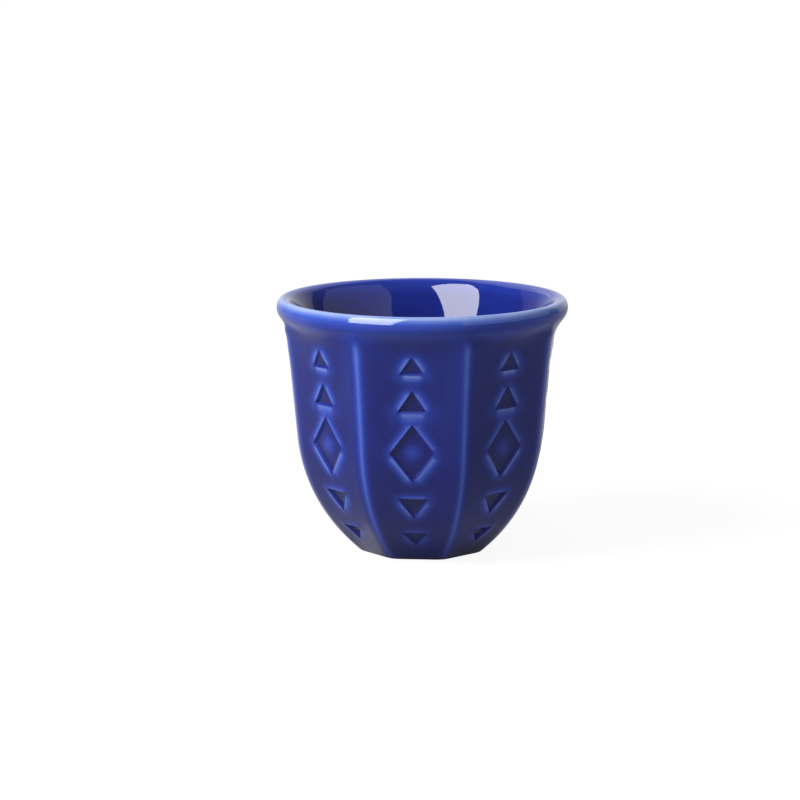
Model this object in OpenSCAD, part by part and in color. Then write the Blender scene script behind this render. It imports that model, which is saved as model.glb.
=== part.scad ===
// Arabic coffee cup: a small handleless porcelain cup. A round rolled lip
// stands on a wall of upright curved facets, each pressed with a column of
// triangles round one diamond. The fired body carries three coats of glaze.
// Millimetres. Z is up, the foot stands on Z = 0 and the axis of the cup is Z.

/* [Overall] */
// Diameter over the lip
rim_d = 65; // [62:0.5:68]
// Height from the foot to the crest of the lip
cup_h = 57; // [56:0.5:60]

/* [Faceted wall] */
// Number of facets round the wall
facet_count = 8; // [6:2:10]
// Distance across two opposite facets at the foot
foot_flats = 27.4; // [24:0.2:31]
// Radius of the belly curve of a facet, from the foot up
belly_r = 40.5; // [36:0.5:46]
// Depth of the neck below the crest of the lip
neck_drop = 9; // [8:0.5:10]
// Lean of a facet from the vertical at the neck, in degrees
neck_lean = 5; // [3:0.5:7]
// How far each arris between two facets is cut back from a sharp corner
arris_cut = 0.45; // [0.2:0.05:0.7]

/* [Lip] */
// How far the lip stands out past the neck, at the middle of a facet
lip_reach = 3.5; // [3:0.1:4]
// Radius of the outer face of the lip
lip_r = 3; // [2.6:0.1:3.3]
// Turn of the outer face above its widest circle, in degrees
lip_face_turn = 35; // [25:1:45]
// Radius of the outer edge of the crest
lip_edge_r = 1; // [0.7:0.1:1.4]
// Radius from the crest into the bowl
lip_inner_r = 2.7; // [2.2:0.1:3.2]
// Lean of the flank under the lip from the vertical, in degrees
flank_lean = 36; // [33:1:39]
// Radius of the hollow between the lip and the facets
cove_r = 6.5; // [5.5:0.1:7.5]
// How far the hollow runs in behind the middle of a facet
cove_sink = 0.25; // [0.15:0.05:0.4]

/* [Bowl] */
// Thickness of the wall at the neck, at the middle of a facet
wall_t = 3.5; // [3:0.1:4]
// Distance across the bowl where the lines of its straight wall would meet its floor
bowl_base_d = 34.5; // [33:0.5:36]
// Radius of the curve of the bowl below its straight wall
bowl_r = 28; // [26:0.5:31]
// Diameter of the flat floor of the bowl
bowl_floor_d = 12; // [8:0.5:15]
// Radius between the curve and the floor of the bowl
bowl_corner_r = 10; // [8:0.5:12]
// Thickness of the floor of the bowl above the table
floor_t = 5.5; // [4.5:0.1:6.5]
// Radius on which the bowl opens out into the lip
bowl_flare_r = 16; // [12:0.5:20]

/* [Foot] */
// Diameter of the recess under the foot
recess_d = 20.4; // [17:0.2:22]
// Depth of the recess under the foot
recess_h = 1.6; // [1.2:0.1:2]
// Radius in the corner of the recess
recess_corner_r = 0.8; // [0.4:0.1:1]
// Height of the bare band left round the foot
foot_bare_h = 0.2; // [0.1:0.05:0.5]

/* [Glaze] */
// Thickness of the glaze
glaze_t = 0.25; // [0.15:0.05:0.35]
// Extra thickness of the glaze that pools in the floor of a motif
glaze_pool_t = 0.15; // [0.05:0.05:0.25]

/* [Motifs] */
// Depth of the pressed motifs in the glazed surface
motif_depth = 0.45; // [0.3:0.05:0.7]
// Width of the top triangle, which points up
top_triangle_w = 5.6; // [4.8:0.1:6.4]
// Height of the top triangle
top_triangle_h = 4.1; // [3.6:0.1:4.3]
// Height of its base, as a share of the height of the cup
top_triangle_share = 0.774; // [0.768:0.002:0.78]
// Width of the upper triangle, which points up
upper_triangle_w = 6.7; // [6:0.1:7.4]
// Height of the upper triangle
upper_triangle_h = 5; // [4.4:0.1:5.6]
// Height of its base, as a share of the height of the cup
upper_triangle_share = 0.626; // [0.62:0.002:0.632]
// Width of the diamond
diamond_w = 9.9; // [8.8:0.1:11]
// Height of the diamond
diamond_h = 13.1; // [12:0.1:14]
// Height of the middle of the diamond, as a share of the height of the cup
diamond_share = 0.468; // [0.462:0.002:0.474]
// Width of the lower triangle, which points down
lower_triangle_w = 6.8; // [6:0.1:7.4]
// Height of the lower triangle
lower_triangle_h = 4.8; // [4.2:0.1:5.4]
// Height of its base, as a share of the height of the cup
lower_triangle_share = 0.286; // [0.28:0.002:0.292]
// Width of the bottom triangle, which points down
bottom_triangle_w = 5.6; // [4.8:0.1:6.2]
// Height of the bottom triangle
bottom_triangle_h = 3.3; // [2.8:0.1:3.6]
// Height of its base, as a share of the height of the cup
bottom_triangle_share = 0.135; // [0.129:0.002:0.141]

/* [Hidden] */
// Overrun of every cut past the face that it opens
overrun = 2;
// Degrees between two points of an arc, and steps of a full turn
arc_step = 5;
turn_steps = 120;
// Colours of the fired body and of the three coats
body_colour = [0.93, 0.92, 0.89];
outer_colour = [0.13, 0.19, 0.55];
inner_colour = [0.10, 0.16, 0.50];
base_colour = [0.12, 0.18, 0.52];

rim_r = rim_d / 2;
foot_r = foot_flats / 2;
neck_r = rim_r - lip_reach;
neck_h = cup_h - neck_drop;
bowl_floor_r = bowl_floor_d / 2;
recess_r = recess_d / 2;
facet_turn = 360 / facet_count;
arris_share = 1 / cos(facet_turn / 2);

// Belly circle of a facet: it starts at the foot and touches the line of the neck
belly = circle_middle([neck_r, neck_h], neck_lean, belly_r, [foot_r, 0], belly_r);

// Lip: circles of its outer face, of the outer edge of its crest and of its inner
// side, and the hollow below the flank
face_span = lip_r - lip_edge_r;
face = [rim_r - lip_r, cup_h - lip_edge_r - face_span * sin(lip_face_turn)];
edge = face + face_span * [cos(lip_face_turn), sin(lip_face_turn)];
inner = [edge.x, cup_h - lip_inner_r];
flank_start = face + lip_r * [cos(flank_lean), -sin(flank_lean)];
cove_x = neck_r - cove_sink + cove_r;
flank_l = (flank_start.x + cove_r * cos(flank_lean) - cove_x) / sin(flank_lean);
cove = [cove_x, flank_start.y - flank_l * cos(flank_lean) - cove_r * sin(flank_lean)];

// Bowl: its straight wall runs into a curve below and a flare above. The curve
// touches the corner over the floor, and the flare touches the inner side of the lip
bowl_neck = [neck_r - wall_t, neck_h];
bowl_lean = atan((bowl_neck.x - bowl_base_d / 2) / (neck_h - floor_t));
corner = [bowl_floor_r, floor_t + bowl_corner_r];
bowl = circle_middle(bowl_neck, bowl_lean, bowl_r, corner, bowl_r - bowl_corner_r);
corner_turn = atan2(corner.y - bowl.y, corner.x - bowl.x);
bowl_reach = reach(bowl_neck, bowl_lean);
inner_reach = reach(inner, bowl_lean);
flare_span = bowl_flare_r - lip_inner_r;
flare_share = (bowl_reach + bowl_flare_r - inner_reach) / flare_span;
flare_turn = -acos(flare_share) - bowl_lean;
flare = inner + flare_span * [cos(flare_turn), sin(flare_turn)];
seam_turn = flare_turn + 180;

// Distance of a point from the origin, square to a line that leans from the vertical
function reach(point, lean) = point.x * cos(lean) - point.y * sin(lean);

// Middle of a circle that touches the leaning line through a point from within,
// and that lies a span away from another point below
function circle_middle(through, lean, r, point, span) =
    let (across = reach(through, lean) - r - reach(point, lean))
    let (along = sqrt(span * span - across * across))
    point + across * [cos(lean), -sin(lean)] + along * [sin(lean), cos(lean)];

// Points of an arc round a centre, from one angle to another
function arc(centre, r, from, to) =
    let (steps = max(1, ceil(abs(to - from) / arc_step)))
    let (turn = (to - from) / steps)
    [for (i = [0 : steps]) centre + r * [cos(from + turn * i), sin(from + turn * i)]];

function reversed(points) = [for (i = [len(points) - 1 : -1 : 0]) points[i]];

// Side of a facet from the foot to behind the lip, at a depth under the glazed surface
function facet_side(depth) = concat(
    arc(belly, belly_r - depth, -asin(belly.y / (belly_r - depth)), -neck_lean),
    [[neck_r + (flank_start.y - neck_h) * tan(neck_lean) - depth / cos(neck_lean), flank_start.y]]
);

// Side of the cut that takes the sharp corner off an arris
function arris_side(depth) = [for (p = facet_side(depth)) [p.x * arris_share - arris_cut, p.y]];

// Lip from its seam with the bowl, over the crest and down into the hollow
function lip_side(depth) = concat(
    arc(inner, lip_inner_r - depth, seam_turn, 90),
    arc(edge, lip_edge_r - depth, 90, lip_face_turn),
    arc(face, lip_r - depth, lip_face_turn, -flank_lean),
    arc(cove, cove_r + depth, 180 - flank_lean, 180)
);

// Bowl from the middle of its floor up to its seam with the lip
function bowl_side(depth) = concat(
    [[0, floor_t - depth]],
    arc(corner, bowl_corner_r + depth, -90, corner_turn),
    arc(bowl, bowl_r + depth, corner_turn, -bowl_lean),
    arc(flare, bowl_flare_r - depth, 180 - bowl_lean, seam_turn)
);

// Recess under the foot, from its bare edge to its middle
function recess_side(depth) = concat(
    [[recess_r + depth, foot_bare_h]],
    arc([recess_r - recess_corner_r, recess_h - recess_corner_r], recess_corner_r + depth, 0, 90),
    [[0, recess_h + depth]]
);

// Triangle with its edges moved out by grow. It points up when h is positive
function triangle(w, h, base, grow) =
    let (slope = sqrt(pow(w / 2, 2) + h * h))
    let (inner_r = (w / 2) * abs(h) / (w / 2 + slope))
    let (middle = [0, base + sign(h) * inner_r])
    let (grow_share = (inner_r + grow) / inner_r)
    [for (p = [[-w / 2, base], [w / 2, base], [0, base + h]]) middle + (p - middle) * grow_share];

// Diamond with its edges moved out by grow
function diamond(w, h, middle, grow) =
    let (inner_r = w * h / 2 / sqrt(w * w + h * h))
    let (grow_share = (inner_r + grow) / inner_r)
    [for (p = [[-w / 2, 0], [0, -h / 2], [w / 2, 0], [0, h / 2]]) [0, middle] + p * grow_share];

// The column of motifs on one facet
function motifs(grow) = [
    triangle(top_triangle_w, top_triangle_h, cup_h * top_triangle_share, grow),
    triangle(upper_triangle_w, upper_triangle_h, cup_h * upper_triangle_share, grow),
    diamond(diamond_w, diamond_h, cup_h * diamond_share, grow),
    triangle(lower_triangle_w, -lower_triangle_h, cup_h * lower_triangle_share, grow),
    triangle(bottom_triangle_w, -bottom_triangle_h, cup_h * bottom_triangle_share, grow)
];

// Slab with a curved side front and back
module slab(side) {
    mirrored = [for (p = reversed(side)) [-p.x, p.y]];
    rotate([90, 0, 0])
        linear_extrude(height = 2 * rim_d, center = true)
            polygon(concat(side, mirrored));
}

// Faceted wall as a solid block, its arrises cut back
module faceted_block(depth) {
    intersection_for (i = [0 : facet_count - 1]) {
        rotate([0, 0, i * facet_turn / 2])
            slab(i % 2 == 0 ? facet_side(depth) : arris_side(depth));
    }
}

// Lip as a solid disc
module lip_block(depth) {
    side = lip_side(depth);
    rotate_extrude($fn = turn_steps)
        polygon(concat([[0, side[0].y]], side, [[0, side[len(side) - 1].y]]));
}

// Pockets of the motifs on every facet
module motif_pockets(depth, grow) {
    for (i = [0 : facet_count - 1]) {
        rotate([0, 0, i * facet_turn])
            difference() {
                for (outline = motifs(grow)) {
                    rotate([90, 0, 90])
                        linear_extrude(height = rim_r)
                            polygon(outline);
                }
                slab(facet_side(depth));
            }
    }
}

// Outside form of the cup, filled in, at a depth under the glazed surface
module outside(depth, pocket_depth, grow) {
    difference() {
        union() {
            faceted_block(depth);
            lip_block(depth);
        }
        motif_pockets(pocket_depth, grow);
    }
}

module glazed_outside() {
    outside(0, motif_depth, 0);
}

module fired_outside() {
    outside(glaze_t, motif_depth + glaze_t + glaze_pool_t, glaze_t);
}

// Space of the bowl with its glaze, open at the top past the seam
module bowl_space() {
    seam = lip_side(0)[0];
    rotate_extrude($fn = turn_steps)
        polygon(concat(bowl_side(glaze_t), [seam, [seam.x, cup_h + overrun], [0, cup_h + overrun]]));
}

// Band between a side and the same side at the glaze's depth, turned round the axis
module turned_coat(outer_side, inner_side) {
    rotate_extrude($fn = turn_steps)
        polygon(concat(outer_side, reversed(inner_side)));
}

// White porcelain as it leaves the kiln, under the glaze and bare at the foot
module porcelain_body() {
    color(body_colour)
        difference() {
            fired_outside();
            bowl_space();
            rotate_extrude($fn = turn_steps)
                polygon(concat([[0, -overrun], [recess_r, -overrun], [recess_r, foot_bare_h]], recess_side(glaze_t)));
        }
}

// Coat over the facets, the motifs and the lip, down to the bare foot
module outer_glaze() {
    color(outer_colour)
        difference() {
            glazed_outside();
            fired_outside();
            bowl_space();
            translate([0, 0, foot_bare_h - overrun])
                linear_extrude(height = overrun)
                    square(rim_d, center = true);
        }
}

// Coat poured over the inside of the bowl up to the lip
module inner_glaze() {
    color(inner_colour)
        turned_coat(bowl_side(0), bowl_side(glaze_t));
}

// Coat in the recess under the foot
module base_glaze() {
    color(base_colour)
        turned_coat(recess_side(0), recess_side(glaze_t));
}

porcelain_body();
outer_glaze();
inner_glaze();
base_glaze();
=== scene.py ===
# Coffee cup: its coats of cobalt glaze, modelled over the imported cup, and the studio round it.
from math import acos, asin, atan, atan2, ceil, cos, degrees, exp, pi, radians, sin, sqrt, tan

import bmesh
import bpy
from mathutils import Matrix, Vector


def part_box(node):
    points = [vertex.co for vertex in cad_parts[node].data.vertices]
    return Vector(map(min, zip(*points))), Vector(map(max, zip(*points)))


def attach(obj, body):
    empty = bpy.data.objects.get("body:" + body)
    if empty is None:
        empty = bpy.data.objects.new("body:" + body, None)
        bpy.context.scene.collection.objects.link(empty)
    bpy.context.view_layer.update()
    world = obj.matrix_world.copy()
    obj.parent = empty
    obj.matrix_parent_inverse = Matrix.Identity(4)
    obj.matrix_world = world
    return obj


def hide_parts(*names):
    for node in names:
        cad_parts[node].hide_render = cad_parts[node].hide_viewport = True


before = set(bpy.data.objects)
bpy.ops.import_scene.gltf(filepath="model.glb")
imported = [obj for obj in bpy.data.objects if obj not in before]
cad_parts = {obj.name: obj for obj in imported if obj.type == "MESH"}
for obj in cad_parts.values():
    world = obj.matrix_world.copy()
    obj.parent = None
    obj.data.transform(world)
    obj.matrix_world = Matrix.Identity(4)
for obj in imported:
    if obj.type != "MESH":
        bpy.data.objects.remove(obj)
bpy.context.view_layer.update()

# Sizes of the cup, in millimetres. Angles are in radians.
MM = 0.001
RIM_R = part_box("outer_glaze")[1].x / MM
CUP_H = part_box("outer_glaze")[1].z / MM
FACETS = 8
FOOT_R = 13.7
BELLY_R = 40.5
NECK_DROP = 9.0
NECK_LEAN = radians(5)
ARRIS_CUT = 0.45
LIP_REACH = 3.5
LIP_R = 3.0
LIP_FACE_TURN = radians(35)
LIP_EDGE_R = 1.0
LIP_INNER_R = 2.7
FLANK_LEAN = radians(36)
COVE_R = 6.5
COVE_SINK = 0.25
WALL_T = 3.5
BOWL_BASE_R = 17.25
BOWL_R = 28.0
BOWL_FLOOR_R = 6.0
BOWL_CORNER_R = 10.0
FLOOR_T = 5.5
BOWL_FLARE_R = 16.0
RECESS_R = 10.2
RECESS_H = 1.6
RECESS_CORNER_R = 0.8
FOOT_BARE_H = 0.2
GLAZE_T = 0.25

# Motifs on the middle line of a facet: half width, height (down if negative) and place of the base, or
# of the diamond's middle, as a share of the cup's height. Then two pairs of how pale the outline is, thin
# glaze plus a painted highlight, and how far that reaches: outside the sides and the base, or outside the
# diamond's upper and lower sides.
TRIANGLES = (
    (2.80, 4.1, 0.774, (0.54, 1.20), (0.62, 1.45)),
    (3.35, 5.0, 0.626, (0.52, 1.30), (0.52, 2.10)),
    (3.40, -4.8, 0.286, (0.56, 1.30), (0.46, 1.00)),
    (2.80, -3.3, 0.135, (0.32, 1.30), (0.30, 0.90)),
)
DIAMOND = (4.95, 13.1, 0.468, (0.48, 1.05), (0.58, 1.45))
MOTIF_DEPTH = 0.45
MOTIF_WALL_RUN = 0.32
RIDGE_H = 0.12
RIDGE_RUN = 1.5
CROWN_H = 0.22
CROWN_R = 2.0

# The glow of an outline drops to a share of itself at a point of the motif, over a length of the side.
CORNER_GLOW = 0.30
CORNER_FADE = 1.4

# Softness of the forms where they run together, and of the lowest edge.
LIP_BLEND = 3.6
LIP_BLEND_LEAST = 1.8
HOLLOW_FALL = 0.35
FACET_FADE_H = 2.7
FACET_FADE = 1.6
FOOT_ROUND_H = 0.5
FOOT_ROUND = 0.12
GLAZE_FOOT_H = 0.05

# Rows and columns of the mesh over one half of a facet. The columns crowd towards the arris.
COLUMNS = 20
CROWDING = 0.4
FOOT_ROWS = (GLAZE_FOOT_H, 0.12, 0.25, FOOT_ROUND_H)
ROW_STEP = 0.9
COVE_ROW_STEP = 0.5
LIP_ROW_TURN = radians(8)
MOTIF_LINES = (-MOTIF_WALL_RUN, 0.0, 0.2, 0.6)
CUT_REACH = 1.0
SNAP = 0.03
MERGE = 0.0005
CREASE = radians(80)

# Steps of the turned coats.
TURN_STEPS = 160
ARC_STEP = radians(3)

FACET_TURN = 2 * pi / FACETS
HALF_TURN = FACET_TURN / 2
NECK_R = RIM_R - LIP_REACH
NECK_H = CUP_H - NECK_DROP


def polar(r, turn):
    return Vector((r * cos(turn), r * sin(turn)))


def reach(point, lean):
    """Distance of a point from the origin, square to a line that leans from the vertical."""
    return point.x * cos(lean) - point.y * sin(lean)


def circle_middle(through, lean, r, point, span):
    """Middle of a circle that touches a leaning line from within, a span away from a point below."""
    across = reach(through, lean) - r - reach(point, lean)
    along = sqrt(span * span - across * across)
    return point + across * Vector((cos(lean), -sin(lean))) + along * Vector((sin(lean), cos(lean)))


def clamp(value, low=0.0, high=1.0):
    return max(low, min(high, value))


def ease(value):
    """Smooth step from 0 to 1."""
    t = clamp(value)
    return t * t * (3 - 2 * t)


def smooth_max(a, b, blend):
    """The larger of two values, rounded off where they are within a blend of each other."""
    overlap = max(blend - abs(a - b), 0) / blend
    return max(a, b) + overlap * overlap * blend / 4


BELLY = circle_middle(Vector((NECK_R, NECK_H)), NECK_LEAN, BELLY_R, Vector((FOOT_R, 0)), BELLY_R)
LIP_SPAN = LIP_R - LIP_EDGE_R
FACE = Vector((RIM_R - LIP_R, CUP_H - LIP_EDGE_R - LIP_SPAN * sin(LIP_FACE_TURN)))
EDGE = FACE + polar(LIP_SPAN, LIP_FACE_TURN)
INNER = Vector((EDGE.x, CUP_H - LIP_INNER_R))
FLANK_TOP = FACE + polar(LIP_R, -FLANK_LEAN)
COVE_X = NECK_R - COVE_SINK + COVE_R
FLANK_L = (FLANK_TOP.x + COVE_R * cos(FLANK_LEAN) - COVE_X) / sin(FLANK_LEAN)
COVE = Vector((COVE_X, FLANK_TOP.y - FLANK_L * cos(FLANK_LEAN) - COVE_R * sin(FLANK_LEAN)))
FLANK_LOW_H = COVE.y + COVE_R * sin(FLANK_LEAN)

BOWL_NECK = Vector((NECK_R - WALL_T, NECK_H))
BOWL_LEAN = atan((BOWL_NECK.x - BOWL_BASE_R) / (NECK_H - FLOOR_T))
BOWL_CORNER = Vector((BOWL_FLOOR_R, FLOOR_T + BOWL_CORNER_R))
BOWL = circle_middle(BOWL_NECK, BOWL_LEAN, BOWL_R, BOWL_CORNER, BOWL_R - BOWL_CORNER_R)
BOWL_CORNER_TURN = atan2(BOWL_CORNER.y - BOWL.y, BOWL_CORNER.x - BOWL.x)
FLARE_SPAN = BOWL_FLARE_R - LIP_INNER_R
FLARE_SHARE = (reach(BOWL_NECK, BOWL_LEAN) + BOWL_FLARE_R - reach(INNER, BOWL_LEAN)) / FLARE_SPAN
FLARE_TURN = -acos(FLARE_SHARE) - BOWL_LEAN
FLARE = INNER + polar(FLARE_SPAN, FLARE_TURN)
SEAM_TURN = FLARE_TURN + pi
LIP_ARCS = (
    (FACE, LIP_R, -FLANK_LEAN, LIP_FACE_TURN),
    (EDGE, LIP_EDGE_R, LIP_FACE_TURN, pi / 2),
    (INNER, LIP_INNER_R, pi / 2, SEAM_TURN),
)


# Form of the facets and of the lip

def facet_at(z):
    """Radius to the middle of a facet, and its lean, at a height."""
    lean = asin(clamp((BELLY.y - z) / BELLY_R, -1))
    if lean > NECK_LEAN:
        return BELLY.x + BELLY_R * cos(lean), lean
    return NECK_R + (z - NECK_H) * tan(NECK_LEAN), NECK_LEAN


def hollow_at(z):
    """Radius of the flank under the lip and of the hollow below it, at a height."""
    if z > FLANK_LOW_H:
        return FLANK_TOP.x - (FLANK_TOP.y - z) * tan(FLANK_LEAN)
    if z > COVE.y:
        return COVE.x - sqrt(COVE_R ** 2 - (z - COVE.y) ** 2)
    return COVE.x - COVE_R - (COVE.y - z) * HOLLOW_FALL


def half_width(row):
    """From the middle line of a facet to its arris, along the facet. It stays the same over the lip."""
    return facet_at(min(row, FLANK_TOP.y))[0] * tan(HALF_TURN)


def wall_point(x, z, relief, depth):
    """Point of the wall, x along its facet from the middle line, at a depth under the surface."""
    flat, lean = facet_at(z)
    turn = atan2(x, flat + relief * cos(lean))
    # The blend of the two facets that rounds their arris off by ARRIS_CUT.
    arris_blend = 4 * (flat / (flat / cos(HALF_TURN) - ARRIS_CUT) - cos(HALF_TURN))
    r = flat + (relief - depth) * cos(lean)
    r /= smooth_max(cos(turn), cos(FACET_TURN - turn), arris_blend)
    r -= FACET_FADE * ease((z - FLANK_TOP.y) / FACET_FADE_H + 1)
    r -= FOOT_ROUND * clamp(1 - z / FOOT_ROUND_H) ** 2
    lip_blend = LIP_BLEND_LEAST + (LIP_BLEND - LIP_BLEND_LEAST) * (x / half_width(z)) ** 2
    r = smooth_max(r, hollow_at(z) - depth, lip_blend)
    return Vector((r * sin(turn), -r * cos(turn), z + (depth - relief) * sin(lean)))


def lip_at(row):
    """Circle of the lip at a row past the flank, and the turn on it: 0 is outermost, a quarter the crest."""
    along = row - FLANK_TOP.y
    for middle, r, start, end in LIP_ARCS:
        turn = start + along / r
        if turn < end:
            break
        along -= r * (end - start)
    return middle, r, min(turn, end)


def lip_point(x, row, depth):
    """Point of the rolled lip, at a depth under its surface."""
    middle, r, turn = lip_at(row)
    side = middle + polar(r - depth, turn)
    round_turn = atan2(x, facet_at(FLANK_TOP.y)[0])
    return Vector((side.x * sin(round_turn), -side.x * cos(round_turn), side.y))


# Motifs, as their edges on the right half of a facet. An edge has a corner, an end, its outward
# direction, its glow with the reach of it, and if its end is a point of the motif.

def motif_edge(corner, end, middle, glow, pointed):
    out = (end - corner).orthogonal().normalized()
    if (corner - middle) @ out < 0:
        out = -out
    return corner, end, out, glow, pointed


def triangle(half_w, height, share, side_glow, base_glow):
    base = CUP_H * share
    corner, middle = Vector((half_w, base)), Vector((0, base + height / 3))
    return [motif_edge(corner, Vector((0, base + height)), middle, side_glow, True),
            motif_edge(corner, Vector((0, base)), middle, base_glow, False)]


def diamond(half_w, height, share, upper_glow, lower_glow):
    corner, middle = Vector((half_w, CUP_H * share)), Vector((0, CUP_H * share))
    return [motif_edge(corner, middle + Vector((0, height / 2)), middle, upper_glow, True),
            motif_edge(corner, middle - Vector((0, height / 2)), middle, lower_glow, True)]


MOTIFS = [diamond(*DIAMOND)] + [triangle(*sizes) for sizes in TRIANGLES]
CROWN = Vector((0, CUP_H * DIAMOND[2]))


def line_distance(motif, place):
    """Distance outside the lines that a motif's edges lie on, below 0 inside it."""
    return max((place - corner) @ out for corner, end, out, glow, pointed in motif)


def edge_at(place):
    """Distance to the nearest motif's outline, below 0 inside it, and the glow of all outlines there: pale
    thin glaze plus a painted highlight.
    """
    nearest, dark = (FACETS * RIM_R, 0), 1.0
    for motif in MOTIFS:
        side = -1 if line_distance(motif, place) < 0 else 1
        most = 0.0
        for corner, end, out, (glow, run), pointed in motif:
            along = end - corner
            share = clamp((place - corner) @ along / along.length_squared)
            distance = (place - corner - along * share).length
            to_corner = min(share, 1 - share if pointed else 1) * along.length
            rim = CORNER_GLOW + (1 - CORNER_GLOW) * ease(to_corner / CORNER_FADE)
            # Painted highlight along each outline, over its pale thin glaze.
            most = max(most, glow * rim * exp(-(distance / run) ** 2))
            nearest = min(nearest, (distance, side))
        dark *= 1 - most
    return nearest[0] * nearest[1], 1 - dark


def relief_at(place, distance):
    """Height of the surface over the plain facet: a ridge outside an outline, a sunk floor inside."""
    if distance >= 0:
        return RIDGE_H * clamp(1 - distance / RIDGE_RUN) ** 2
    sunk = clamp(-distance / MOTIF_WALL_RUN)
    crown = CROWN_H * exp(-((place - CROWN).length / CROWN_R) ** 2)
    return RIDGE_H * (1 - sunk) + (crown - MOTIF_DEPTH) * sunk


# Coat over the facets, motifs and lip

# How pale the glaze is on the arrises and on the diamond's crown, and how far that reaches. On the arrises
# it is thin glaze plus a painted highlight, on the crown thin glaze. The painted highlight of an arris fades
# where the cove takes the arris up, and is weaker and narrower towards the foot. All of the wall is a little
# paler towards the top.
ARRIS_THIN_GLAZE_AND_PAINTED_HIGHLIGHT = 0.37
ARRIS_RUN = 1.05
ARRIS_HALO = 0.10
ARRIS_HALO_RUN = 3.0
ARRIS_STAND = 1.9
FOOT_SHARE = 0.7
FOOT_SHARE_H = 10
FOOT_NARROWING = 0.4
HEIGHT_GLOW = 0.05
CROWN_GLOW = 0.34
CROWN_RUN = 2.1

# How pale the glaze is round the lip, by degrees from the outermost line: 90 is the crest. It is thin glaze
# towards the crest plus painted shade and light: darker where the lip faces down and on its inner side,
# lighter where it faces up.
LIP_PALENESS_AND_PAINTED_LIGHT = ((-36, 0.20), (-6, 0.27), (11, 0.38), (19, 0.46), (27, 0.57), (35, 0.67), (50, 0.69), (86, 0.62),
            (102, 0.28), (140, 0.12))


def between(pairs, value):
    """Straight lines through pairs of places and values."""
    for (a, low), (b, high) in zip(pairs, pairs[1:]):
        if value <= b:
            return low + (high - low) * clamp((value - a) / (b - a))
    return pairs[-1][1]


def pale_glaze_and_painted_light_at(place, distance):
    """How pale the glaze is away from the outlines: thin glaze plus a painted highlight on the arrises, thin
    glaze plus painted shade and light round the lip, and thin glaze on the diamond's crown.
    """
    x, row = place
    if row > FLANK_TOP.y:
        # Round the lip: thin glaze plus painted shade and light, by which way the lip faces.
        return between(LIP_PALENESS_AND_PAINTED_LIGHT, degrees(lip_at(row)[2]))
    arris = facet_at(row)[0] / cos(HALF_TURN) - ARRIS_CUT
    share = FOOT_SHARE + (1 - FOOT_SHARE) * ease(row / FOOT_SHARE_H)
    stands = ease((arris - hollow_at(row)) / ARRIS_STAND) * share
    aside = (half_width(row) - x) * (1 + FOOT_NARROWING * (1 - row / NECK_H))
    halo = ARRIS_HALO * exp(-aside / ARRIS_HALO_RUN)
    # Painted highlight along the arris, over its thin glaze.
    glow = stands * (ARRIS_THIN_GLAZE_AND_PAINTED_HIGHLIGHT * exp(-(aside / ARRIS_RUN) ** 2) + halo)
    glow += LIP_PALENESS_AND_PAINTED_LIGHT[0][1] * ease((row - FLANK_LOW_H) / FACET_FADE_H)
    glow += HEIGHT_GLOW * (2 * row / CUP_H - 1)
    if distance < 0:
        glow += CROWN_GLOW * exp(-((place - CROWN).length / CROWN_RUN) ** 2)
    return glow


def rows_of_wall():
    """Heights of the rows on the wall, then lengths along the lip's circles past the flank."""
    rows = list(FOOT_ROWS)
    for last, step in ((FLANK_LOW_H - 2 * COVE_ROW_STEP, ROW_STEP), (FLANK_TOP.y, COVE_ROW_STEP)):
        first, count = rows[-1], ceil((last - rows[-1]) / step)
        rows += [first + (last - first) * (i + 1) / count for i in range(count)]
    for middle, r, start, end in LIP_ARCS:
        first, count = rows[-1], ceil((end - start) / LIP_ROW_TURN)
        rows += [first + (end - start) * r * (i + 1) / count for i in range(count)]
    return rows


def parts_of(faces):
    """Faces with their edges and vertices, as the operators want them."""
    edges = {edge for face in faces for edge in face.edges}
    verts = {vert for face in faces for vert in face.verts}
    return list(verts) + list(edges) + list(faces)


def planar_half():
    """Right half of a facet and its part of the lip, laid flat: x along the facet, y along the rows."""
    bm = bmesh.new()
    rows = rows_of_wall()
    last = len(rows) - 1
    bmesh.ops.create_grid(bm, x_segments=COLUMNS, y_segments=last, size=0.5)
    for vert in bm.verts:
        share = round((vert.co.x + 0.5) * COLUMNS) / COLUMNS
        share = (1 - CROWDING) * share + CROWDING * sin(share * pi / 2)
        row = rows[round((vert.co.y + 0.5) * last)]
        vert.co = (share * half_width(row), row, 0)
    for motif in MOTIFS:
        for corner, end, out, glow, pointed in motif:
            for line in MOTIF_LINES:
                near = [face for face in bm.faces
                        if line_distance(motif, face.calc_center_median().xy) < CUT_REACH]
                bmesh.ops.bisect_plane(
                    bm, geom=parts_of(near), dist=SNAP,
                    plane_co=(corner + out * line).to_3d(), plane_no=out.to_3d())
    return bm


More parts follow.
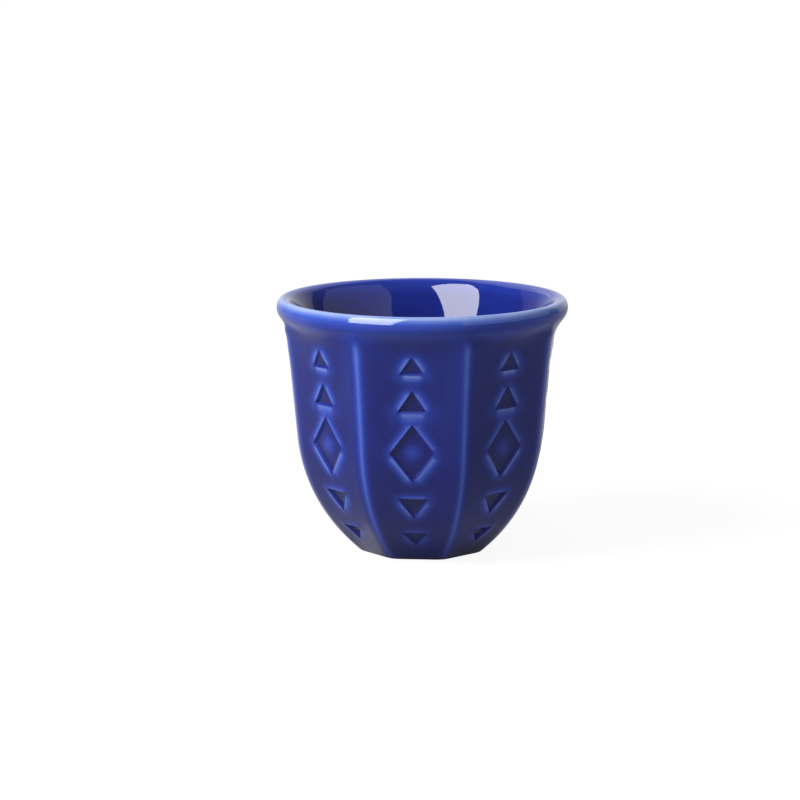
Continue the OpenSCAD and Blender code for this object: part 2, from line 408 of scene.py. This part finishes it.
def glazed_wall():
    """The closed coat: one half facet is shaped, copied to its inner side, mirrored and turned round."""
    bm = planar_half()
    glaze = bm.verts.layers.float_vector.new("glaze")
    inner = bm.verts.layers.float.new("inner")
    copied = bmesh.ops.duplicate(bm, geom=parts_of(bm.faces[:]))
    twins = [part for part in copied["geom"] if isinstance(part, bmesh.types.BMVert)]
    for vert in twins:
        vert[inner] = 1.0
    bmesh.ops.reverse_faces(bm, faces=[p for p in copied["geom"] if isinstance(p, bmesh.types.BMFace)])
    for vert in bm.verts:
        place = vert.co.xy
        depth = GLAZE_T * vert[inner]
        distance, glow = edge_at(place)
        if place.y > FLANK_TOP.y:
            vert.co = lip_point(place.x, place.y, depth) * MM
        else:
            vert.co = wall_point(place.x, place.y, relief_at(place, distance - depth), depth) * MM
        vert[glaze] = (distance, glow, pale_glaze_and_painted_light_at(place, distance))
    bmesh.ops.mirror(bm, geom=parts_of(bm.faces[:]), matrix=Matrix(), merge_dist=MERGE * MM, axis="X")
    bmesh.ops.spin(bm, geom=parts_of(bm.faces[:]), axis=(0, 0, 1), cent=(0, 0, 0), dvec=(0, 0, 0),
                   angle=2 * pi - FACET_TURN, steps=FACETS - 1, use_duplicate=True)
    bmesh.ops.remove_doubles(bm, verts=bm.verts[:], dist=MERGE * MM)
    for above in (True, False):
        ends = [edge for edge in bm.edges
                if edge.is_boundary and (edge.verts[0].co.z > CUP_H * MM / 2) == above]
        bmesh.ops.bridge_loops(bm, edges=ends)
    bmesh.ops.recalc_face_normals(bm, faces=bm.faces[:])
    bm.verts.layers.float.remove(bm.verts.layers.float["inner"])
    return bm


def crease(bm):
    """Keeps the shading of a coat clear of its thin rims."""
    for edge in bm.edges:
        if edge.calc_face_angle(0) > CREASE:
            edge.smooth = False


# Turned coats: the bowl and the recess

def arc(middle, r, start, end):
    """Points along an arc, from its start to its end."""
    steps = ceil(abs(end - start) / ARC_STEP)
    return [middle + polar(r, start + (end - start) * i / steps) for i in range(steps + 1)]


def bowl_side(depth):
    """Side of the bowl from its middle up to the seam inside the lip, at a depth under the glaze."""
    return ([Vector((0, FLOOR_T - depth))]
            + arc(BOWL_CORNER, BOWL_CORNER_R + depth, -pi / 2, BOWL_CORNER_TURN)
            + arc(BOWL, BOWL_R + depth, BOWL_CORNER_TURN, -BOWL_LEAN)[1:]
            + arc(FLARE, BOWL_FLARE_R - depth, pi - BOWL_LEAN, SEAM_TURN))


def recess_side(depth):
    """Side of the recess under the foot, from the bare ring to the middle, at a depth under the glaze."""
    middle = Vector((RECESS_R - RECESS_CORNER_R, RECESS_H - RECESS_CORNER_R))
    return ([Vector((RECESS_R + depth, FOOT_BARE_H))]
            + arc(middle, RECESS_CORNER_R + depth, 0, pi / 2)
            + [Vector((0, RECESS_H + depth))])


def turned_coat(side):
    """A coat between a side and the same side under the glaze, turned round the axis of the cup."""
    bm = bmesh.new()
    outline = side(0) + side(GLAZE_T)[::-1]
    points = [bm.verts.new((p.x * MM, 0, p.y * MM)) for p in outline]
    on_axis = [abs(p.x) < SNAP for p in outline]
    for i, point in enumerate(points):
        after = (i + 1) % len(points)
        if not (on_axis[i] and on_axis[after]):
            bm.edges.new((point, points[after]))
    bmesh.ops.spin(bm, geom=bm.verts[:] + bm.edges[:], axis=(0, 0, 1), cent=(0, 0, 0), dvec=(0, 0, 0),
                   angle=2 * pi, steps=TURN_STEPS, use_merge=True)
    bmesh.ops.remove_doubles(bm, verts=bm.verts[:], dist=MERGE * MM)
    bmesh.ops.recalc_face_normals(bm, faces=bm.faces[:])
    return bm


def piece(name, bm, node):
    """An object from a bmesh, smooth, riding on the cup in place of its plain solid."""
    mesh = bpy.data.meshes.new(name)
    for face in bm.faces:
        face.smooth = True
    crease(bm)
    bm.to_mesh(mesh)
    bm.free()
    made = bpy.data.objects.new(name, mesh)
    bpy.context.scene.collection.objects.link(made)
    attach(made, "root")
    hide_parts(node)
    return made


# Materials

# Most of a noise lies between these.
NOISE_SPAN = (0.3, 0.7)


def make(tree, kind, inputs=(), **settings):
    """A node with its settings. Each of its inputs is linked to a socket or given a value."""
    made = tree.nodes.new(kind)
    for name, value in settings.items():
        setattr(made, name, value)
    for key, value in dict(inputs).items():
        if isinstance(value, bpy.types.NodeSocket):
            tree.links.new(value, made.inputs[key])
        else:
            made.inputs[key].default_value = value
    return made


def sum_of(tree, operation, a, b=0.0, clamped=False):
    """A sum worked out on two values, each a socket or a number."""
    return make(tree, "ShaderNodeMath", {0: a, 1: b}, operation=operation, use_clamp=clamped).outputs[0]


def spread(tree, value, low, high, to_low=0.0, to_high=1.0, smooth=False):
    """A value mapped from one range to another."""
    return make(tree, "ShaderNodeMapRange",
                {"Value": value, "From Min": low, "From Max": high, "To Min": to_low, "To Max": to_high},
                interpolation_type="SMOOTHSTEP" if smooth else "LINEAR").outputs["Result"]


def noise(tree, size, detail=2.0, roughness=0.5, stretch=(1, 1, 1)):
    """Noise with features of about a size in millimetres, from 0 to 1."""
    where = make(tree, "ShaderNodeTexCoord").outputs["Object"]
    mapped = make(tree, "ShaderNodeMapping", {"Vector": where, "Scale": stretch}).outputs[0]
    facts = {"Vector": mapped, "Scale": 1 / (size * MM), "Detail": detail, "Roughness": roughness}
    return make(tree, "ShaderNodeTexNoise", facts).outputs["Fac"]


def ramp(tree, value, stops):
    """A colour for a value, from stops that each have a place and a colour."""
    made = make(tree, "ShaderNodeValToRGB", {"Fac": value})
    elements = made.color_ramp.elements
    while len(elements) < len(stops):
        elements.new(0.5)
    for element, (place, colour) in zip(elements, stops):
        element.position = place
        element.color = (*colour, 1)
    return made.outputs["Color"]


def new_material(name):
    """An empty material, and its nodes."""
    made = bpy.data.materials.new(name)
    made.use_nodes = True
    made.node_tree.nodes.clear()
    return made, made.node_tree


GLAZE_IOR = 1.46
GLOSS_PATCH = 1.4


def glaze_shader(tree, colour, roughness, wave_size, wave, matte=0.0):
    """Glossy glaze over a colour, with low waves of a size and height, and duller by matte."""
    rough = spread(tree, noise(tree, GLOSS_PATCH, 3.0), *NOISE_SPAN, *roughness)
    rough = sum_of(tree, "ADD", rough, matte)
    bump = make(tree, "ShaderNodeBump",
                {"Height": noise(tree, wave_size, 1.0), "Strength": 1.0, "Distance": wave * MM}).outputs[0]
    shader = make(tree, "ShaderNodeBsdfPrincipled",
                  {"Base Color": colour, "Roughness": rough, "IOR": GLAZE_IOR, "Normal": bump}).outputs[0]
    make(tree, "ShaderNodeOutputMaterial", {"Surface": shader})


# Colour of the glaze, from pooled and dark to thin and pale.
COBALT = (
    (0.00, (0.0018, 0.0040, 0.055)),
    (0.12, (0.0026, 0.0062, 0.088)),
    (0.25, (0.0040, 0.0096, 0.140)),
    (0.42, (0.0110, 0.0270, 0.250)),
    (0.55, (0.0200, 0.0450, 0.338)),
    (0.70, (0.0480, 0.0980, 0.440)),
    (0.85, (0.1200, 0.1850, 0.500)),
    (1.00, (0.2700, 0.3700, 0.650)),
)

# Place in COBALT of the plain facets and of the bowl, and how far it drifts.
FACET_TONE = 0.24
FACET_DRIFT = 0.03
BOWL_TONE = 0.30
BOWL_DRIFT = 0.02

# Across a motif's outline, in millimetres, inside is below 0. The glow rises over the outline: pale thin
# glaze on the ridge plus a painted highlight. The glaze lies thin at the top of the wall and pools at its
# foot. The wall is dull, and the floor a little.
OUTLINE_RISE = (-0.12, 0.20)
POOL_SPAN = (-0.34, -0.06)
POOL_TONE = (-0.07, 0.06)
POOL_END = 0.1
WALL_FOOT_SPAN = (-0.42, -0.30)
FLOOR_MATTE = 0.1
WALL_MATTE = 0.55
MATTE_END = 0.12

# Towards the crest the bowl's glaze is paler, between two depths under it.
BOWL_GLOW_SPAN = (3.5, 1.0)
BOWL_GLOW = 0.10


def cobalt_outside():
    """Glaze over the facets: dark in the pressed floors, pale thin glaze on the outlines, arrises and lip,
    with painted highlights on the outlines and arrises and painted shade and light round the lip.
    """
    material, tree = new_material("cobalt_glaze_outside")
    facts = make(tree, "ShaderNodeAttribute", attribute_name="glaze", attribute_type="GEOMETRY")
    # The third value is pale thin glaze together with the painted highlights of the arrises and the painted
    # shade and light round the lip.
    distance, rim, pale_glaze_and_painted_light = make(tree, "ShaderNodeSeparateXYZ", {0: facts.outputs["Vector"]}).outputs
    # Outline glow: pale thin glaze on the ridge plus a painted highlight.
    glow = sum_of(tree, "MULTIPLY", rim, spread(tree, distance, *OUTLINE_RISE, smooth=True))
    pool = spread(tree, distance, *POOL_SPAN, *POOL_TONE)
    pool = sum_of(tree, "MULTIPLY", pool, spread(tree, distance, 0.0, POOL_END, 1.0, 0.0))
    dull_floor = spread(tree, distance, *WALL_FOOT_SPAN, FLOOR_MATTE, WALL_MATTE)
    dull_wall = spread(tree, distance, 0.0, MATTE_END, WALL_MATTE, 0.0)
    matte = sum_of(tree, "MINIMUM", dull_floor, dull_wall)
    tone = noise(tree, 9.0, 2.0, stretch=(1, 1, 0.5))
    drift = spread(tree, tone, *NOISE_SPAN, -FACET_DRIFT, FACET_DRIFT)
    level = sum_of(tree, "ADD", sum_of(tree, "ADD", glow, pool), sum_of(tree, "ADD", pale_glaze_and_painted_light, drift))
    level = sum_of(tree, "ADD", level, FACET_TONE, clamped=True)
    glaze_shader(tree, ramp(tree, level, COBALT), roughness=(0.05, 0.09), wave_size=5.0, wave=0.012,
                 matte=matte)
    return material


def cobalt_inside():
    """Glaze in the bowl and the recess: smooth and deep, paler towards the lip."""
    material, tree = new_material("cobalt_glaze_inside")
    where = make(tree, "ShaderNodeTexCoord").outputs["Object"]
    height = make(tree, "ShaderNodeSeparateXYZ", {0: where}).outputs[2]
    low, high = [(CUP_H - depth) * MM for depth in BOWL_GLOW_SPAN]
    near_lip = spread(tree, height, low, high, 0.0, BOWL_GLOW, smooth=True)
    drift = spread(tree, noise(tree, 12.0, 2.0), *NOISE_SPAN, -BOWL_DRIFT, BOWL_DRIFT)
    level = sum_of(tree, "ADD", sum_of(tree, "ADD", near_lip, drift), BOWL_TONE, clamped=True)
    glaze_shader(tree, ramp(tree, level, COBALT), roughness=(0.02, 0.05), wave_size=7.0, wave=0.02)
    return material


PORCELAIN = ((NOISE_SPAN[0], (0.76, 0.73, 0.67)), (NOISE_SPAN[1], (0.84, 0.82, 0.78)))
MOTTLE = 1.1
GRAIN = 0.25
GRAIN_H = 0.01


def bare_porcelain():
    """Unglazed foot: white, matte, faintly mottled and grainy."""
    material, tree = new_material("bare_porcelain")
    colour = ramp(tree, noise(tree, MOTTLE, 4.0, 0.6), PORCELAIN)
    grain = make(tree, "ShaderNodeBump",
                 {"Height": noise(tree, GRAIN, 2.0), "Strength": 0.6, "Distance": GRAIN_H * MM}).outputs[0]
    shader = make(tree, "ShaderNodeBsdfPrincipled",
                  {"Base Color": colour, "Roughness": 0.65, "Normal": grain}).outputs[0]
    make(tree, "ShaderNodeOutputMaterial", {"Surface": shader})
    return material


outside = cobalt_outside()
inside = cobalt_inside()
outer_glaze = piece("glaze_outside", glazed_wall(), "outer_glaze")
outer_glaze.data.materials.append(outside)
inner_glaze = piece("glaze_bowl", turned_coat(bowl_side), "inner_glaze")
inner_glaze.data.materials.append(inside)
base_glaze = piece("glaze_recess", turned_coat(recess_side), "base_glaze")
base_glaze.data.materials.append(inside)
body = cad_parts["porcelain_body"]
body.data.materials.clear()
body.data.materials.append(bare_porcelain())

# Studio, in metres and degrees. Azimuth 0 is in front of the cup and negative to its left.
CAMERA_AZIMUTH = 4.45
CAMERA_ELEVATION = 11.017
CAMERA_DISTANCE = 0.5558
LENS = 111.0
MIDDLE = Vector((0, 0, CUP_H * MM / 2))
MIDDLE_PIXEL = (422.3, 421.9)
FRAME_PIXELS = 800
AMBIENT = 0.36

# The drum of screens: dark between two azimuths, brighter behind, grey overhead.
SCREEN_R = 1.5
SCREEN_H = 2.3
SCREEN_AZIMUTHS = (-121, 134.5)
SCREEN_EDGE = radians(1)
SCREEN_GLOW = 0.15
BACKDROP_DEPTH = 1.05
BACKDROP_GLOW = (0.45, 0.9)
CEILING_GLOW = 0.25
CEILING_FADE_H = 0.4
CEILING_EDGE = 0.01

# The card at right fades with depth behind the cup.
HAZE_DEPTHS = (-0.6, 0.5)
HAZE_GLOW = (1.15, 0.5)

# What the table throws back, by the direction from the cup: a share that falls towards the right, more at
# left behind, all of it weaker near the foot, and a bright patch by the foot at front left.
COVER_H = 0.3 * MM
RIGHT_SPAN = (-0.2, 0.7)
RIGHT_GLOW = (0.60, 0.42)
LEFT_SPAN = (-0.3, -0.9)
BEHIND_SPAN = (-0.12, 0.12)
LEFT_GLOW = 0.22
NEAR_SPAN = (0.013, 0.024)
NEAR_SHARE = (0.25, 0.92)
PATCH = (-0.0135, -0.0115, 0)
PATCH_SPAN = (0.002, 0.008)
PATCH_GLOW = 0.36

# The floor is grey in the light that it throws on the cup. Where it is seen it is darker and is lifted
# to white, a little less so near the cup.
FLOOR_DROP = 0.02 * MM
FLOOR_SIZE = 8.0
FLOOR_GREY = (0.45, 0.45, 0.45)
FLOOR_SEEN_GREY = (0.08, 0.08, 0.08)
LIFT_SPAN = (0.15, 0.9)
LIFT = (0.93, 0.98)


def direction(azimuth, elevation):
    """Unit vector from the cup towards an azimuth and elevation."""
    a, e = radians(azimuth), radians(elevation)
    return Vector((sin(a) * cos(e), -cos(a) * cos(e), sin(e)))


def place_facing(made, azimuth, elevation, distance):
    """Stands an object off the cup, with its own -Z towards it."""
    back = direction(azimuth, elevation)
    made.location = MIDDLE + back * distance
    made.rotation_mode = "QUATERNION"
    made.rotation_quaternion = (-back).to_track_quat("-Z", "Y")


def lamp(name, azimuth, elevation, distance, size, level):
    """Soft lamp that lights a face square to it at a level, where 1 shows a colour as it is."""
    light = bpy.data.lights.new(name, "AREA")
    light.shape = "DISK"
    light.size = size
    light.energy = level * pi ** 2 * distance ** 2
    made = bpy.data.objects.new(name, light)
    bpy.context.scene.collection.objects.link(made)
    place_facing(made, azimuth, elevation, distance)
    made.visible_camera = False
    made.visible_glossy = False


def off_camera(name, bm, glow):
    """A studio card, screen or table cover that only shows in the gloss of the glaze."""
    mesh = bpy.data.meshes.new(name)
    bm.to_mesh(mesh)
    bm.free()
    made = bpy.data.objects.new(name, mesh)
    bpy.context.scene.collection.objects.link(made)
    material, tree = new_material(name)
    strength = glow(tree) if callable(glow) else glow
    shader = make(tree, "ShaderNodeEmission", {"Color": (1, 1, 1, 1), "Strength": strength}).outputs[0]
    make(tree, "ShaderNodeOutputMaterial", {"Surface": shader})
    material.cycles.emission_sampling = "NONE"
    mesh.materials.append(material)
    made.visible_camera = False
    made.visible_diffuse = False
    made.visible_shadow = False
    made.visible_transmission = False


def card(name, corners, strength, rounding):
    """Flat card with corners at azimuths and elevations from the camera's side, its last corner rounded."""
    bm = bmesh.new()
    bmesh.ops.create_grid(bm, x_segments=1, y_segments=1, size=0.5)
    loop = [corner.vert for corner in bm.faces[:][0].loops]
    for vert, (azimuth, elevation) in zip(loop, corners):
        vert.co = MIDDLE + direction(azimuth + CAMERA_AZIMUTH, elevation)
    bmesh.ops.bevel(bm, geom=[loop[-1]], affect="VERTICES", offset=rounding, segments=12, profile=0.5,
                    material=-1)
    off_camera(name, bm, strength)


def screen_glow(tree):
    """Dark round the front and sides, brighter at the back, grey overhead."""
    where = make(tree, "ShaderNodeTexCoord").outputs["Object"]
    x, y, z = make(tree, "ShaderNodeSeparateXYZ", {0: where}).outputs
    azimuth = sum_of(tree, "ARCTAN2", x, sum_of(tree, "MULTIPLY", y, -1.0))
    left, right = [radians(end + CAMERA_AZIMUTH) for end in SCREEN_AZIMUTHS]
    past_left = spread(tree, azimuth, left + SCREEN_EDGE, left - SCREEN_EDGE)
    past_right = spread(tree, azimuth, right - SCREEN_EDGE, right + SCREEN_EDGE)
    back = sum_of(tree, "ADD", past_left, past_right)
    behind = spread(tree, y, BACKDROP_DEPTH, SCREEN_R, *BACKDROP_GLOW)
    sides = spread(tree, back, 0.0, 1.0, SCREEN_GLOW, behind)
    return spread(tree, z, SCREEN_H - CEILING_FADE_H, SCREEN_H - CEILING_EDGE, sides, CEILING_GLOW)


def dark_screen():
    """Drum of screens round the studio, closed at the top."""
    bm = bmesh.new()
    bmesh.ops.create_cone(bm, cap_ends=True, segments=64, radius1=SCREEN_R, radius2=SCREEN_R,
                          depth=SCREEN_H)
    bmesh.ops.translate(bm, vec=(0, 0, SCREEN_H / 2), verts=bm.verts[:])
    off_camera("dark_screen", bm, screen_glow)


def haze_glow(tree):
    """Fades from the front of the card to its back."""
    where = make(tree, "ShaderNodeTexCoord").outputs["Object"]
    depth = make(tree, "ShaderNodeSeparateXYZ", {0: where}).outputs[1]
    return spread(tree, depth, *HAZE_DEPTHS, *HAZE_GLOW)


def table_glow(tree):
    """Light that the table throws back, by the place on it."""
    where = make(tree, "ShaderNodeTexCoord").outputs["Object"]
    away = make(tree, "ShaderNodeVectorMath", {0: where}, operation="LENGTH").outputs["Value"]
    toward = make(tree, "ShaderNodeVectorMath", {0: where}, operation="NORMALIZE").outputs["Vector"]
    side, depth = make(tree, "ShaderNodeSeparateXYZ", {0: toward}).outputs[:2]
    right = spread(tree, side, *RIGHT_SPAN, *RIGHT_GLOW)
    left = spread(tree, depth, *BEHIND_SPAN, 0.0, LEFT_GLOW)
    left = sum_of(tree, "MULTIPLY", spread(tree, side, *LEFT_SPAN), left)
    near = spread(tree, away, *NEAR_SPAN, *NEAR_SHARE, smooth=True)
    glow = sum_of(tree, "MULTIPLY", sum_of(tree, "ADD", right, left), near)
    off_patch = make(tree, "ShaderNodeVectorMath", {0: where, 1: PATCH}, operation="DISTANCE")
    patch = spread(tree, off_patch.outputs["Value"], *PATCH_SPAN, PATCH_GLOW, 0.0, smooth=True)
    return sum_of(tree, "ADD", glow, patch)


def table_cover():
    """Disc just over the floor, for what the gloss shows of the table."""
    bm = bmesh.new()
    bmesh.ops.create_circle(bm, cap_ends=True, segments=48, radius=SCREEN_R)
    bmesh.ops.translate(bm, vec=(0, 0, COVER_H), verts=bm.verts[:])
    off_camera("table_cover", bm, table_glow)


def backdrop_ray(tree):
    """1 for rays that show the background: from the camera, and through gloss and glass."""
    ray = make(tree, "ShaderNodeLightPath").outputs
    seen = sum_of(tree, "MAXIMUM", ray["Is Camera Ray"], ray["Is Glossy Ray"])
    return sum_of(tree, "MAXIMUM", seen, ray["Is Transmission Ray"])


def white_world():
    """White where the background is seen, and dimmer as the light round the cup."""
    world = bpy.data.worlds.new("white_studio")
    bpy.context.scene.world = world
    world.use_nodes = True
    tree = world.node_tree
    tree.nodes.clear()
    strength = spread(tree, backdrop_ray(tree), 0.0, 1.0, AMBIENT, 1.0)
    shader = make(tree, "ShaderNodeBackground", {"Color": (1, 1, 1, 1), "Strength": strength}).outputs[0]
    make(tree, "ShaderNodeOutputWorld", {"Surface": shader})


def pale_floor():
    """Pale table that goes white in the picture and keeps the shadow of the cup."""
    bm = bmesh.new()
    bmesh.ops.create_grid(bm, x_segments=1, y_segments=1, size=FLOOR_SIZE)
    bmesh.ops.translate(bm, vec=(0, 0, -FLOOR_DROP), verts=bm.verts[:])
    mesh = bpy.data.meshes.new("floor")
    bm.to_mesh(mesh)
    bm.free()
    made = bpy.data.objects.new("floor", mesh)
    bpy.context.scene.collection.objects.link(made)
    material, tree = new_material("floor")
    seen = backdrop_ray(tree)
    grey = ramp(tree, seen, ((0.0, FLOOR_GREY), (1.0, FLOOR_SEEN_GREY)))
    matte = make(tree, "ShaderNodeBsdfDiffuse", {"Color": grey}).outputs[0]
    where = make(tree, "ShaderNodeTexCoord").outputs["Object"]
    away = make(tree, "ShaderNodeVectorMath", {0: where}, operation="LENGTH").outputs["Value"]
    lift = sum_of(tree, "MULTIPLY", seen, spread(tree, away, *LIFT_SPAN, *LIFT))
    glow = make(tree, "ShaderNodeEmission", {"Color": (1, 1, 1, 1), "Strength": lift}).outputs[0]
    both = make(tree, "ShaderNodeAddShader", {0: matte, 1: glow}).outputs[0]
    make(tree, "ShaderNodeOutputMaterial", {"Surface": both})
    material.cycles.emission_sampling = "NONE"
    mesh.materials.append(material)


def camera():
    """Stands where the photograph was taken from, with the same frame."""
    data = bpy.data.cameras.new("camera")
    data.lens = LENS
    data.sensor_width = 36.0
    data.clip_end = 100.0
    data.shift_x = (FRAME_PIXELS / 2 - MIDDLE_PIXEL[0]) / FRAME_PIXELS
    data.shift_y = (MIDDLE_PIXEL[1] - FRAME_PIXELS / 2) / FRAME_PIXELS
    made = bpy.data.objects.new("camera", data)
    bpy.context.scene.collection.objects.link(made)
    place_facing(made, CAMERA_AZIMUTH, CAMERA_ELEVATION, CAMERA_DISTANCE)
    bpy.context.scene.camera = made


bpy.context.scene.view_settings.view_transform = "Standard"
white_world()
pale_floor()
camera()
lamp("key_lamp", azimuth=-56, elevation=40, distance=1.1, size=0.5, level=1.42)
lamp("top_lamp", azimuth=20, elevation=80, distance=1.2, size=0.6, level=0.15)
dark_screen()
table_cover()
card("soft_box", ((-58, 13.5), (-23.5, 13.5), (-14, 67.2), (-79, 58.5)), strength=13.0, rounding=0.12)
card("rim_card", ((-117, 42), (-165, 13), (-176, 50), (-122, 66)), strength=1.3, rounding=0.05)
card("haze_card", ((30, 6), (118, 6), (122, 49), (45, 66)), strength=haze_glow, rounding=0.40)
